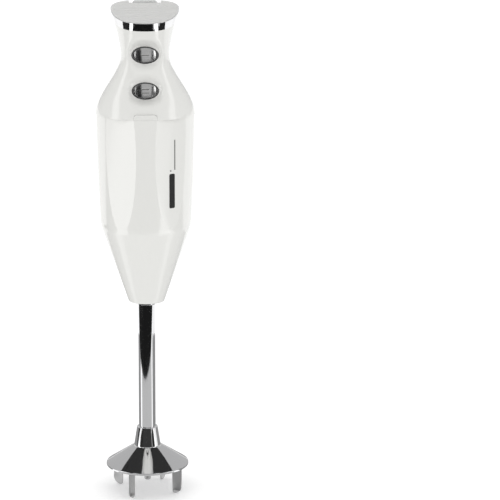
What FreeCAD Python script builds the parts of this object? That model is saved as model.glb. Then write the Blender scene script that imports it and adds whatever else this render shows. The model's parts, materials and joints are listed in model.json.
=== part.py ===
"""Immersion blender: a stick blender with a sealed motor handle, two push buttons and a guarded drive shaft.

Millimetres, +Z up. The origin is on the drive axis, in the plane that the guard's fins stand on.
The buttons face -Y and the cord leaves at +Y. Every height builds up from the fins' tips.
"""

import FreeCAD
import Part
import math
import os
from FreeCAD import Vector

os.makedirs("parts", exist_ok=True)

# ---------------------------------------------------------------- driving sizes
# Fits between pieces
running = 0.03  # radial gap of a shaft in its bush
sliding = 0.15  # gap round a button or a brush
loose = 0.3  # gap between pieces that must never touch

# Guard
fin_count = 4
fin_turn = -28.0  # degrees from +X to the first fin
fin_reach = 18.8  # from the fins' tips up to the rim
fin_width = 7.2
fin_thickness = 1.2
fin_inset = 0.8  # from the bell's inner wall to a fin
fin_foot = 1.2  # flat that each fin stands on
rim_radius = 29.2
rim_lip = 1.8
bell_wall = 1.3
bell_rise = 12.7
collar_height = 13.8
collar_base = 9.4  # radius where the collar meets the bell
collar_wall = 1.0  # wall of the collar's thin upper end

# Shaft tube and its bushes
tube_radius = 5.9
tube_wall = 0.8
exposed_tube = 92.0
tube_seat = 9.0  # how far the tube goes into the collar
bush_length = 8.0
seal_length = 2.4
ring_height = 2.4
ring_step = 0.3

# Drive shaft
shaft_radius = 3.0
spigot_step = 0.5  # the spigot is this much slimmer in radius
tip_recess = 11.8  # from the rim down to the shaft's tip
hub_grip = 17.1  # from the shaft's tip up to the cross pin
pin_radius = 1.0
pin_overhang = 1.0
detent_radius = 0.55

# Handle, lower shell
wall = 2.2
nose_radius = 12.6
nose_floor = 3.0
cone_height = 55.4
knee_radius = 31.5
knee_round = 30.0
barrel_height = 78.0
barrel_belly = 0.35  # how far the barrel bulges past a straight taper
seam_radius = 34.0
facet_angle = 32.5  # each facet's direction, from the front or the back
facet_top = 1.85  # depth of a facet at the seam
facet_waist = 1.72  # its depth at mid-height, below the seam's radius taper
facet_foot = 0.1  # its depth at the knee
tongue_wall = 1.8
tongue_height = 2.8
spine_half_width = 8.0  # the front strip's rounded end, which rises past the seam
spine_rise = 3.8
spine_corner = 2.2
lip = 0.25  # the upper shell's lip stands this far proud of the lower shell

# Handle, upper shell
neck_rise = 41.5
neck_half_width = 16.7
neck_front = 19.8
neck_back = 17.6
head_rise = 70.7
head_half_width = 23.3
head_front = 30.0
head_back = 21.0
front_shape = 0.62  # how early the front draws in above the seam
cap_tilt = 12.5  # degrees that the head slopes down to the front
cap_height = 5.6
cap_floor = 1.5
plate_thickness = 1.2
plate_rim = 0.7
web_drop = 16.0  # from the head's middle down to the web
web_thickness = 3.0

# Buttons and switches, in a frame that leans back
button_tilt = 10.0
button_frame_rise = 29.5
upper_button = 9.8
button_spacing = 24.3
button_half_width = 8.3
button_half_height = 4.85
button_travel = 2.2
button_floor = 18.0  # distance of each dish's floor in front of the frame's middle
button_proud = 1.9
crown_radius = 14.0
flange_step = 1.0
stem_radius = 2.4
bezel_width = 0.85
bezel_proud = 0.35
dish_half_width = 13.0
dish_half_height = 12.0
ridge_length = 5.2
ridge_width = 1.0
ridge_height = 0.4
ridge_spacing = 2.1
carrier_thickness = 1.5
switch_depth = 5.8
board_thickness = 1.6

# Motor
stack = 36.0
stator_radius = 26.0
yoke_wall = 4.5
shoe_wall = 2.0
armature_radius = 14.0
air_gap = 0.5
pole_reach = 62.0
coil_reach = 68.0
neck_of_pole = 9.0
end_turn = 7.0
armature_slots = 12
commutator_radius = 10.0
commutator_length = 12.8
commutator_bars = 24
motor_shaft_radius = 3.0
brush_width = 6.0
brush_height = 8.0
brush_length = 9.0
brush_travel = 2.5
fan_radius = 16.5
fan_blades = 9

# Ball bearings
bearing_radius = 9.5
bearing_width = 6.0
ball_radius = 1.6
ball_count = 7
ball_play = 0.04

# Cord inlet
cord_bore = 3.4
gland_half_width = 9.0
gland_rise = -0.2
gland_back = 6.5
gland_notch = 2.0

# ---------------------------------------------------------------- heights
rim_low = fin_reach
rim_top = rim_low + rim_lip
collar_low = rim_top + bell_rise
collar_top = collar_low + collar_height
tube_foot = collar_top - tube_seat
nose_low = collar_top + exposed_tube
knee = nose_low + cone_height
seam = knee + barrel_height
neck = seam + neck_rise
head = seam + head_rise
tip = rim_low - tip_recess
pin_height = tip + hub_grip

tongue_radius = seam_radius - wall - 0.2
tube_bore = tube_radius - tube_wall
bush_low = tube_foot - bush_length
seal_low = bush_low - seal_length
socket_low = nose_low + nose_floor
tube_head = socket_low + 10.7
socket_stop = tube_head + 2.0
coupling_low = socket_stop + 2.0
coupling_middle = coupling_low + 7.5
coupling_high = coupling_middle + 7.5
bracket_low = coupling_high + 3.0
lower_bearing = bracket_low + 2.2
fan_low = lower_bearing + bearing_width + 1.6
fan_high = fan_low + 6.2
stator_low = fan_high + end_turn + 0.8
stator_high = stator_low + stack
riser_low = stator_high + end_turn + 1.0
commutator_high = riser_low + 1.8 + commutator_length
deck_low = commutator_high + 1.4
deck_high = deck_low + 4.0
upper_bearing = deck_high + 0.4
motor_shaft_high = upper_bearing + bearing_width + 1.2
brush_middle = commutator_high - 0.5 * commutator_length - 0.4
web_low = head - web_drop
web_high = web_low + web_thickness
frame_height = seam + button_frame_rise

screw_ring = stator_radius - 0.5 * yoke_wall
long_screw_x = 10.5
long_screw_y = 8.5


# ---------------------------------------------------------------- shape helpers
def cylinder(radius, low, high, x=0.0, y=0.0):
    """An upright cylinder between two heights."""
    return Part.makeCylinder(radius, high - low, Vector(x, y, low))


def ring(outer, inner, low, high):
    """An upright ring between two heights."""
    return cylinder(outer, low, high).cut(cylinder(inner, low - 1.0, high + 1.0))


def block(x0, x1, y0, y1, z0, z1):
    """A box given by its faces."""
    return Part.makeBox(x1 - x0, y1 - y0, z1 - z0, Vector(x0, y0, z0))


def rod(radius, start, end):
    """A cylinder from one point to another."""
    way = end - start
    return Part.makeCylinder(radius, way.Length, start, way)


def turned(shape, degrees):
    """A copy turned about the drive axis."""
    made = shape.copy()
    made.rotate(Vector(0, 0, 0), Vector(0, 0, 1), degrees)
    return made


def both_sides(shape):
    """A shape at +Y and its copy at -Y."""
    return [shape, turned(shape, 180)]


def spun(points):
    """A solid of revolution from its (radius, height) outline."""
    corners = [Vector(r, 0, z) for r, z in points]
    outline = Part.makePolygon(corners + corners[:1])
    return Part.Face(outline).revolve(Vector(0, 0, 0), Vector(0, 0, 1), 360)


def plate_in_xz(points, half_depth):
    """A flat piece with its outline in the XZ plane, centred on Y = 0."""
    corners = [Vector(x, -half_depth, z) for x, z in points]
    outline = Part.makePolygon(corners + corners[:1])
    return Part.Face(outline).extrude(Vector(0, 2 * half_depth, 0))


def sector(outer, inner, low, high, middle, half):
    """Part of a ring, round a direction in degrees, reaching that far each way."""
    flat = Part.makePlane(outer - inner, high - low, Vector(inner, 0, low), Vector(0, -1, 0), Vector(1, 0, 0))
    swept = flat.revolve(Vector(0, 0, 0), Vector(0, 0, 1), 2 * half)
    return turned(swept, middle - half)


def circle_edges(shape, radius, height):
    """The level circular edges of that radius at that height."""
    found = []
    for edge in shape.Edges:
        round_edge = isinstance(edge.Curve, Part.Circle)
        if round_edge and abs(edge.Curve.Radius - radius) < 0.01 and abs(edge.Curve.Center.z - height) < 0.01:
            found.append(edge)
    return found


def oval(half_width, half_height, front, back, height=0.0):
    """An oval prism along Y, centred at that height."""
    curve = Part.Ellipse(Vector(0, 0, 0), half_width, half_height).toShape()
    prism = Part.Face(Part.Wire(curve)).extrude(Vector(0, 0, back - front))
    prism.rotate(Vector(0, 0, 0), Vector(1, 0, 0), -90)
    prism.translate(Vector(0, front, height))
    return prism


def leaned(shape):
    """Takes a shape from the button frame, whose Y axis is level there, to its real place."""
    made = shape.copy()
    made.rotate(Vector(0, 0, frame_height), Vector(1, 0, 0), -button_tilt)
    return made


def head_slab(low, high):
    """A thick slab parallel to the sloping top of the head, between two distances from it."""
    slab = block(-80, 80, -80, 80, head + low, head + high)
    slab.rotate(Vector(0, 0, head), Vector(1, 0, 0), cap_tilt)
    return slab


def coil_spring(coil_radius, wire_radius, length, turns):
    """A helical spring from the origin up Z, along a smooth curve with eight points a turn."""
    steps = int(8 * turns)
    points = []
    for step in range(steps + 1):
        angle = 2 * math.pi * turns * step / steps
        height = (length - 2 * wire_radius) * step / steps
        points.append(Vector(coil_radius * math.cos(angle), coil_radius * math.sin(angle), height))
    curve = Part.BSplineCurve()
    curve.interpolate(points)
    section = Part.Wire(Part.makeCircle(wire_radius, points[0], curve.tangent(curve.FirstParameter)[0]))
    wire = Part.Wire(curve.toShape()).makePipeShell([section], True, True)
    return Part.makeSolid(wire).translated(Vector(0, 0, wire_radius))


def cap_screw(radius, head_radius, head_height, low, high, x, y):
    """A screw whose shank runs from low up to high, with its head above."""
    shank = cylinder(radius, low, high, x, y)
    return shank.fuse(cylinder(head_radius, high, high + head_height, x, y)).removeSplitter()


def save(name, *solids):
    """Writes one node and says how large it is."""
    shape = solids[0] if len(solids) == 1 else Part.makeCompound(list(solids))
    good = shape.isValid() and all(s.isClosed() for s in shape.Solids)
    count = len(shape.Solids)
    print(f"{name:24s} solids {count:2d}  volume {shape.Volume / 1000:9.3f} cm3  {'ok' if good else 'BAD'}")
    shape.exportStep(f"parts/{name}.step")
    return shape


# ---------------------------------------------------------------- handle, lower shell
def barrel_radius(height):
    """The lower shell's outer radius at a height above the knee."""
    share = (height - knee) / barrel_height
    bulge = 4 * barrel_belly * share * (1 - share)
    return knee_radius + (seam_radius - knee_radius) * share + bulge


def lower_volume(inset, top):
    """The lower shell's round body, drawn in by the inset, up to a height."""
    slope = math.atan2(knee_radius - nose_radius, cone_height)
    shift = inset / math.cos(slope)
    middle = knee + 0.5 * barrel_height
    foot_height = nose_low if inset == 0 else socket_low
    foot = nose_radius + (foot_height - nose_low) * math.tan(slope) - shift
    knee_height = knee + inset * math.tan(0.5 * slope)
    knee_point = Vector(barrel_radius(knee_height) - inset, 0, knee_height)
    seam_point = Vector(seam_radius - inset, 0, seam)
    barrel = Part.Arc(knee_point, Vector(barrel_radius(middle) - inset, 0, middle), seam_point).toShape()
    corners = [Vector(seam_radius - inset, 0, top), Vector(0, 0, top), Vector(0, 0, foot_height)]
    corners += [Vector(foot, 0, foot_height), knee_point]
    rest = Part.makePolygon(([seam_point] if top > seam else []) + corners)
    outline = Part.Wire(barrel.Edges + rest.Edges)
    body = Part.Face(outline).revolve(Vector(0, 0, 0), Vector(0, 0, 1), 360)
    return body.makeFillet(knee_round - inset, circle_edges(body, knee_point.x, knee_height))


def facet_cutter(inset):
    """What a facet cuts away: everything outside a slightly hollow face, before it is turned into place."""
    middle = knee + 0.35 * barrel_height
    top = Vector(seam_radius - facet_top - inset, 0, seam)
    waist = Vector(barrel_radius(middle) - facet_waist - inset, 0, middle)
    foot = Vector(knee_radius - facet_foot - inset, 0, knee)
    face_arc = Part.Arc(top, waist, foot).toShape()
    far = seam_radius + 20
    above = [top, Vector(top.x, 0, seam + 10), Vector(far, 0, seam + 10), Vector(far, 0, knee - 20)]
    below = [Vector(foot.x + 1.5, 0, knee - 20), foot]
    outline = Part.Wire(face_arc.Edges + Part.makePolygon(above + below).Edges)
    cutter = Part.Face(outline).extrude(Vector(0, 80, 0))
    cutter.translate(Vector(0, -40, 0))
    return cutter


def faceted(body, inset):
    """The body with its four long facets, two at the front and two at the back."""
    cutter = facet_cutter(inset)
    directions = [90 * side + facet_angle * turn for side in (-1, 1) for turn in (-1, 1)]
    return body.cut([turned(cutter, direction) for direction in directions])


def spine_room(gap):
    """The rounded room that the front strip's end takes in the upper shell, with a gap round it."""
    half = spine_half_width + gap
    body = block(-half, half, -60, 0, seam - 3, seam + spine_rise + gap)
    upper = [e for e in body.Edges if e.BoundBox.ZMin > seam + 1 and e.BoundBox.YLength > 1]
    return body.makeFillet(spine_corner, upper).common(block(-60, 60, -60, 0, seam, head))


def make_lower_housing(room_inside):
    outer = faceted(lower_volume(0, seam), 0)
    outer = outer.makeFillet(1.2, circle_edges(outer, nose_radius, nose_low))
    hollow = faceted(lower_volume(wall, seam + 1), wall)
    shell = outer.cut(hollow)
    tongue = ring(tongue_radius, tongue_radius - tongue_wall, seam - 3, seam + tongue_height)
    tongue = tongue.cut(ring(tongue_radius + 1, tongue_radius - 0.9, seam + 0.8, seam + 2.2))
    root = ring(seam_radius - 0.5 * wall, tongue_radius - tongue_wall, seam - 3, seam)
    tongue_room = cylinder(tongue_radius + 0.25, seam - 1, seam + tongue_height + loose)
    spine = spine_room(0).common(cylinder(seam_radius, seam, head)).cut([room_inside, tongue_room])
    shell = shell.fuse([root, tongue, spine])
    shell = shell.cut(cylinder(tube_radius + loose, nose_low - 1, socket_low + 1))
    return shell.cut(cylinder(tube_radius + 1.7, nose_low + 1.0, socket_low + 1))


def make_housing_seal():
    """The O-ring in the tongue's groove."""
    return Part.makeTorus(tongue_radius - 0.35, 0.5, Vector(0, 0, seam + 1.5))


def make_nose_seal():
    """The O-ring that seals the tube in the handle's nose."""
    return Part.makeTorus(tube_radius + 0.85, 0.85, Vector(0, 0, nose_low + 2.0))


# ---------------------------------------------------------------- handle, upper shell
def smooth(share):
    """An even S-curve from 0 to 1."""
    share = min(max(share, 0.0), 1.0)
    return share * share * (3 - 2 * share)


def reach(height, at_seam, at_neck, at_head, early):
    """A half width of the upper shell: it draws in from the seam to the neck, then flares to the head."""
    if height < neck:
        share = max(height - seam, 0.0) / neck_rise
        return at_seam + (at_neck - at_seam) * smooth(share**early)
    share = (height - neck) / (head_rise - neck_rise)
    return at_neck + (at_head - at_neck) * share**1.5


def section_radius(angle, height, inset):
    """Distance from the axis to the upper shell. The angle runs from the front, -Y, towards +X."""
    lip_radius = seam_radius + lip
    side = reach(height, lip_radius, neck_half_width, head_half_width, 1.0) - inset
    facing_front = math.cos(angle) > 0
    if facing_front:
        depth = reach(height, lip_radius, neck_front, head_front, front_shape) - inset
    else:
        depth = reach(height, lip_radius, neck_back, head_back, 1.0) - inset
    to_neck = smooth((height - seam) / neck_rise)
    to_head = smooth((height - neck) / (head_rise - neck_rise))
    fullness = 2.0 + to_neck * (0.9 if facing_front else 0.4) + to_head * (-0.7 if facing_front else 0.5)
    across = (abs(math.sin(angle)) / side) ** fullness
    along = (abs(math.cos(angle)) / depth) ** fullness
    return (across + along) ** (-1 / fullness)


def dish_share(x, z):
    """How far a point lies in a button's dish: 1 on its flat floor, 0 outside it."""
    floor_width = button_half_width + bezel_width + 0.4
    floor_edge = math.hypot(x / floor_width, z / (button_half_height + bezel_width + 0.6))
    outer_edge = ((abs(x) / dish_half_width) ** 3.2 + (abs(z) / dish_half_height) ** 3.2) ** (1 / 3.2)
    if floor_edge <= 1:
        return 1.0
    if outer_edge >= 1:
        return 0.0
    return 1 - smooth((floor_edge - 1) / ((floor_edge - 1) + (1 - outer_edge)))


def dished(point, inset):
    """Sinks a point of the upper shell's skin into the two button dishes."""
    lean = math.radians(button_tilt)
    across = point.y * math.cos(lean) - (point.z - frame_height) * math.sin(lean)
    up = point.y * math.sin(lean) + (point.z - frame_height) * math.cos(lean)
    floor = -button_floor + inset
    share = max(dish_share(point.x, up - centre) for centre in button_centres)
    if across < floor:
        across += (floor - across) * share
    y = across * math.cos(lean) + up * math.sin(lean)
    z = frame_height - across * math.sin(lean) + up * math.cos(lean)
    return Vector(point.x, y, z)


button_centres = (upper_button, upper_button - button_spacing)


def upper_volume(inset):
    """The upper shell's whole body, drawn in by the inset, from below the seam to above the head."""
    columns = 92
    low = seam - 9.0
    high = head + 16.0
    rows = 74
    poles = []
    for column in range(columns):
        even = 2 * math.pi * column / columns - math.pi
        angle = even - 0.42 * math.sin(even)
        line = []
        for row in range(rows):
            height = low + (high - low) * row / (rows - 1)
            radius = section_radius(angle, height, inset)
            point = Vector(radius * math.sin(angle), -radius * math.cos(angle), height)
            line.append(dished(point, inset))
        poles.append(line)
    around = list(range(columns + 1))
    upwards = list(range(rows - 2))
    ends = [4] + [1] * (rows - 4) + [4]
    skin = Part.BSplineSurface()
    skin.buildFromPolesMultsKnots(poles, [1] * (columns + 1), ends, around, upwards, True, False, 3, 3)
    bottom = Part.Face(Part.Wire(skin.vIso(0).toShape()))
    top = Part.Face(Part.Wire(skin.vIso(rows - 3).toShape()))
    sewn = Part.makeCompound([skin.toShape(), bottom, top])
    sewn.sewShape()
    return Part.makeSolid(Part.Shell(sewn.Faces))


def gland_block(half_width, front, back, low, high, corner):
    """A block along Y with rounded edges, for the cord gland and its slots."""
    body = block(-half_width, half_width, front, back, low, high)
    along = [e for e in body.Edges if abs(e.Vertexes[0].Y - e.Vertexes[-1].Y) > 1]
    return body.makeFillet(corner, along)


gland_high = head + head_back * math.tan(math.radians(cap_tilt)) + gland_rise
gland_low = gland_high - 16.0
gland_front = head_back - 3.6
gland_end = head_back + gland_back
cord_height = gland_low + cord_bore + 1.5


def make_gland():
    body = gland_block(gland_half_width, gland_front, gland_end, gland_low, gland_high, 3.0)
    rear = [e for e in body.Edges if e.BoundBox.YMin > gland_end - 0.01]
    body = body.makeFillet(1.8, rear)
    inside = head_slab(-60, -cap_height - loose)
    flange_half = gland_half_width + 1.4
    flange = gland_block(flange_half, gland_front - 1.6, gland_front, gland_low - 1.2, gland_high, 3.0)
    body = body.fuse(flange.common(inside))
    bore = Part.makeCylinder(cord_bore, 40, Vector(0, gland_front - 10, cord_height), Vector(0, 1, 0))
    entry = Part.makeCylinder(cord_bore + 0.8, 10, Vector(0, gland_front - 10, cord_height), Vector(0, 1, 0))
    return body.cut([bore, entry])


def make_upper_housing(outer, inner):
    body = outer.common(block(-80, 80, -80, 80, seam, head + 40)).common(head_slab(-120, -cap_height))
    keepers = [block(-80, 80, -80, 80, web_low, web_high)]
    for side in (-1, 1):
        keepers.append(cylinder(3.4, web_low - 8, web_low + 1, side * long_screw_x, long_screw_y))
    for height in carrier_screw_heights:
        boss_start = Vector(0, -carrier_front - 40, frame_height + height)
        boss = Part.makeCylinder(3.2, 40, boss_start, Vector(0, 1, 0))
        keepers.append(leaned(boss))
    hollow = inner.cut(keepers)
    body = body.cut(hollow)
    body = body.cut(cylinder(tongue_radius + 0.25, seam - 1, seam + tongue_height + loose))
    cuts = [cylinder(4.0, web_low - 1, web_high + 1, 0, -3), spine_room(0.06)]
    for side in (-1, 1):
        cuts.append(cylinder(1.6, web_low - 9, web_high + 1, side * long_screw_x, long_screw_y))
        cuts.append(cylinder(1.25, web_low - 1, web_high + 1, side * 8.0, clamp_middle))
    for centre in button_centres:
        height = frame_height + centre
        cuts.append(leaned(oval(bezel_outer_width, bezel_outer_height, -60, -8, height)))
        seat_width = bezel_inner_width + bezel_width + 0.05
        seat_height = bezel_inner_height + bezel_width + 0.05
        cuts.append(leaned(oval(seat_width, seat_height, -60, -button_floor, height)))
    for height in carrier_screw_heights:
        pilot_start = Vector(0, -carrier_front - 5.5, frame_height + height)
        pilot = Part.makeCylinder(1.0, 5.5, pilot_start, Vector(0, 1, 0))
        cuts.append(leaned(pilot))
    cuts.append(gland_block(gland_half_width, gland_front, 60, gland_low, gland_high + 20, 3.0))
    flange_room = gland_half_width + 1.4 + sliding
    flange_floor = gland_low - 1.2 - sliding
    cuts.append(gland_block(flange_room, gland_front - 5, gland_front, flange_floor, head + 40, 3.0))
    return body.cut(cuts)


def notch(front):
    """The opening at the back of the cap, round the gland."""
    half = gland_half_width + gland_notch
    return block(-half, half, front, 80, head - 40, head + 40)


def make_top_cap(outer, pocket_volume):
    band = outer.common(head_slab(-cap_height, 0))
    pocket = pocket_volume.common(head_slab(-plate_thickness, 10))
    under = upper_volume(2.2).common(head_slab(-cap_height - 10, -plate_thickness - cap_floor))
    cap = band.cut([pocket, under])
    hook_x = head_half_width - 7.7
    for side in (-1, 1):
        edge = side * hook_x
        hook = block(min(edge, edge + side * 1.5), max(edge, edge + side * 1.5), -4, 4, head - 11, head + 10)
        hook = hook.common(head_slab(-30, -plate_thickness - 0.5))
        cap = cap.fuse(hook)
    return cap.cut(notch(gland_front - 0.6))


def make_gland_gasket(volume):
    """Rubber that fills the notch round the gland, just below the cap's top."""
    seat = volume.common(head_slab(-cap_height, -1.4)).common(notch(gland_front - 0.6))
    opening = gland_block(gland_half_width, gland_front, 60, gland_low, gland_high + 20, 3.0)
    return seat.cut(opening)


def make_top_plate(volume):
    plate = volume.common(head_slab(-plate_thickness, 0.12))
    return plate.cut(notch(gland_front - 0.6 - plate_rim))


# ---------------------------------------------------------------- buttons, switches and the board
# Everything here is drawn in the button frame and then leaned back into place.
bezel_inner_width = button_half_width + sliding
bezel_inner_height = button_half_height + sliding
bezel_outer_width = bezel_inner_width + 0.45
bezel_outer_height = bezel_inner_height + 0.45
dish_back = button_floor - wall  # the inner face of the dish's floor
flange_front = dish_back - 0.2
flange_back = flange_front - 1.0
stem_end = flange_back - 2.8
carrier_front = stem_end - 0.9
carrier_back = carrier_front - carrier_thickness
switch_back = carrier_back - switch_depth
board_back = switch_back - board_thickness
carrier_screw_heights = (upper_button + 10.0, upper_button - 0.5 * button_spacing)
clamp_middle = -2.0


def make_bezel(centre):
    height = frame_height + centre
    face = -button_floor - bezel_proud
    ring_width = bezel_inner_width + bezel_width
    ring_face = oval(ring_width, bezel_inner_height + bezel_width, face, -button_floor, height)
    rim = [e for e in ring_face.Edges if e.BoundBox.YMax < face + 0.01]
    ring_face = ring_face.makeFillet(0.2, rim)
    sleeve = oval(bezel_outer_width, bezel_outer_height, -button_floor, -dish_back, height)
    body = ring_face.fuse(sleeve)
    return leaned(body.cut(oval(bezel_inner_width, bezel_inner_height, face - 1, 0, height)).removeSplitter())


def make_button(centre, ridges):
    height = frame_height + centre
    crown = button_floor + button_proud
    body = oval(button_half_width, button_half_height, -crown - 5, -flange_front + 0.5, height)
    edge = Part.makeCylinder(crown_radius, 40, Vector(0, crown_radius - crown, height - 20))
    body = body.common(edge)
    rim = [e for e in body.Edges if e.BoundBox.YMax < -flange_front - 0.5]
    body = body.makeFillet(0.4, rim)
    raised = Part.makeCylinder(crown_radius + ridge_height, 40, Vector(0, crown_radius - crown, height - 20))
    for index in range(ridges):
        offset = (index - 0.5 * (ridges - 1)) * ridge_spacing
        low = height + offset - 0.5 * ridge_width
        half = 0.5 * ridge_length
        bar = block(-half, half, -crown - 2, -crown + 2, low, low + ridge_width)
        body = body.fuse(bar.common(raised))
    flange_width = button_half_width + flange_step
    flange = oval(flange_width, button_half_height + flange_step + 0.3, -flange_front, -flange_back, height)
    stem_start = Vector(0, -flange_back, height)
    stem = Part.makeCylinder(stem_radius, flange_back - stem_end, stem_start, Vector(0, 1, 0))
    return leaned(body.fuse([flange, stem]))


def make_plunger(centre):
    start = Vector(0, -stem_end, frame_height + centre)
    return leaned(Part.makeCylinder(1.0, 3.6, start, Vector(0, 1, 0)))


def make_button_spring(centre):
    spring = coil_spring(stem_radius + 1.0, 0.25, flange_back - carrier_front, 2.75)
    spring.rotate(Vector(0, 0, 0), Vector(1, 0, 0), -90)
    spring.translate(Vector(0, -flange_back, frame_height + centre))
    return leaned(spring)


def make_switch(centre):
    height = frame_height + centre
    body = block(-6.4, 6.4, -carrier_back, -switch_back, height - 3.3, height + 3.3)
    along = [e for e in body.Edges if abs(e.Vertexes[0].Y - e.Vertexes[-1].Y) > 1]
    body = body.makeFillet(0.5, along)
    bore = Part.makeCylinder(1.1, switch_depth - 1.8, Vector(0, -carrier_back, height), Vector(0, 1, 0))
    return leaned(body.cut(bore))


def make_carrier():
    low = frame_height + button_centres[1] - 8.0
    high = frame_height + carrier_screw_heights[0] + 2.6
    plate = block(-10.8, 10.8, -carrier_front, -carrier_back, low, high)
    along = [e for e in plate.Edges if abs(e.Vertexes[0].Y - e.Vertexes[-1].Y) > 1]
    plate = plate.makeFillet(3.0, along)
    holes = []
    for centre in button_centres:
        middle = Vector(0, -carrier_front - 1, frame_height + centre)
        holes.append(Part.makeCylinder(stem_radius + 0.4, 8, middle, Vector(0, 1, 0)))
    for screw in carrier_screw_heights:
        middle = Vector(0, -carrier_front - 1, frame_height + screw)
        holes.append(Part.makeCylinder(1.2, 8, middle, Vector(0, 1, 0)))
    return leaned(plate.cut(holes))


def make_carrier_screws():
    made = []
    for screw in carrier_screw_heights:
        middle = Vector(0, -carrier_front - 5.0, frame_height + screw)
        shank = Part.makeCylinder(1.0, 5.0 + carrier_thickness, middle, Vector(0, 1, 0))
        head_start = Vector(0, -carrier_back, frame_height + screw)
        made.append(leaned(shank.fuse(Part.makeCylinder(2.0, 1.4, head_start, Vector(0, 1, 0)))))
    return made


def make_board():
    low = frame_height + button_centres[1] - 5.0
    high = frame_height + button_centres[0] + 5.0
    return leaned(block(-9.0, 9.0, -switch_back, -board_back, low, high))


def make_capacitor():
    low = frame_height + button_centres[1] - 2.0
    body = block(-6.5, 6.5, -board_back, -board_back + 7.5, low, low + 14.0)
    return leaned(body.makeFillet(0.8, body.Edges))


def make_diode():
    height = frame_height + upper_button - 10.0
    return leaned(Part.makeCylinder(1.5, 5.5, Vector(-2.75, -board_back + 1.5, height), Vector(1, 0, 0)))


def make_terminal_block():
    low = frame_height + upper_button - 6.0
    body = block(-6.0, 6.0, -board_back, -board_back + 6.5, low, low + 9.0)
    holes = []
    for side in (-1, 1):
        holes.append(Part.makeCylinder(1.5, 6.0, Vector(side * 3.0, -board_back + 3.2, low + 4.0)))
        entry = Vector(side * 3.0, -board_back + 3.5, low + 6.0)
        holes.append(Part.makeCylinder(1.3, 4.0, entry, Vector(0, 1, 0)))
    return leaned(body.cut(holes))


def make_cord_clamp():
    saddle = block(-10.5, 10.5, clamp_middle - 2.5, clamp_middle + 2.5, web_high, web_high + 4.5)
    arch = Part.makeCylinder(3.0, 20, Vector(0, clamp_middle - 10, web_high + 0.4), Vector(0, 1, 0))
    holes = [cylinder(1.25, web_high - 1, web_high + 6, side * 8.0, clamp_middle) for side in (-1, 1)]
    return saddle.cut([arch] + holes)


def make_clamp_screws():
    top = web_high + 4.5
    return [cap_screw(1.25, 2.2, 1.6, web_low + 0.2, top, side * 8.0, clamp_middle) for side in (-1, 1)]


# ---------------------------------------------------------------- guard and shaft tube
def make_guard_bell():
    inner_rim = rim_radius - bell_wall
    boss_radius = shaft_radius + 4.2
    boss_top = collar_low - bell_wall - 1.0
    outline = [
        (inner_rim, rim_low),
        (rim_radius, rim_low),
        (rim_radius, rim_top),
        (collar_base, collar_low),
        (tube_radius + collar_wall, collar_top),
        (tube_radius, collar_top),
        (tube_radius, tube_foot),
        (tube_bore, tube_foot),
        (tube_bore, seal_low),
        (boss_radius, seal_low),
        (boss_radius + 0.8, boss_top),
        (inner_rim, rim_low + rim_lip - 0.6),
    ]
    bell = spun(outline)
    rim_edges = circle_edges(bell, rim_radius, rim_low) + circle_edges(bell, rim_radius, rim_top)
    bell = bell.makeFillet(0.55, rim_edges)
    bell = bell.makeFillet(0.9, circle_edges(bell, collar_base, collar_low))
    return bell.makeFillet(0.35, circle_edges(bell, tube_radius + collar_wall, collar_top))


def make_guard_fins():
    """Four blade-like fins, each with a flat foot near its inner edge and a rounded outer corner."""
    outer = rim_radius - bell_wall - fin_inset
    inner = outer - fin_width
    foot_start = inner + 1.5
    foot_end = foot_start + fin_foot
    corner = outer - foot_end
    bend = corner * (1 - math.sqrt(0.5))
    high = collar_low
    lines = Part.makePolygon([Vector(foot_end, 0, 0), Vector(foot_start, 0, 0)])
    corner_middle = Vector(inner + 0.75, 0, 0.5)
    inner_corner = Part.Arc(Vector(foot_start, 0, 0), corner_middle, Vector(inner + 0.4, 0, 1.6))
    sides = [Vector(inner + 0.4, 0, 1.6), Vector(inner, 0, high), Vector(outer, 0, high)]
    sides.append(Vector(outer, 0, 1.25 * corner))
    outer_corner = Part.Arc(sides[-1], Vector(outer - bend, 0, 1.25 * bend), Vector(foot_end, 0, 0))
    edges = lines.Edges + [inner_corner.toShape()] + Part.makePolygon(sides).Edges + [outer_corner.toShape()]
    plate = Part.Face(Part.Wire(edges)).extrude(Vector(0, fin_thickness, 0))
    plate.translate(Vector(0, -0.5 * fin_thickness, 0))
    slope_top = collar_low - bell_wall - 1.0
    boss_radius = shaft_radius + 5.0
    inner_rim = rim_radius - bell_wall
    rim_room = rim_low + rim_lip - 0.6
    room = spun([(0, -1), (inner_rim, -1), (inner_rim, rim_room), (boss_radius, slope_top), (0, slope_top)])
    fin = plate.common(room)
    return [turned(fin, fin_turn + 360 * index / fin_count) for index in range(fin_count)]


def make_tube():
    return ring(tube_radius, tube_bore, tube_foot, tube_head)


def make_tube_ring():
    body = ring(tube_radius + ring_step, tube_radius, nose_low - ring_height, nose_low)
    return body.makeFillet(0.2, circle_edges(body, tube_radius + ring_step, nose_low - ring_height))


def make_bush(low):
    body = ring(tube_bore, shaft_radius + running, low, low + bush_length)
    ends = circle_edges(body, tube_bore, low) + circle_edges(body, tube_bore, low + bush_length)
    return body.makeChamfer(0.3, ends)


def make_shaft_seal():
    """A lip seal: a ring with a groove in its lower face that leaves a thin lip round the shaft."""
    body = ring(tube_bore, shaft_radius + running, seal_low, bush_low)
    return body.cut(ring(tube_bore - 0.9, shaft_radius + 0.7, seal_low - 1, seal_low + 1.3))


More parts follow.
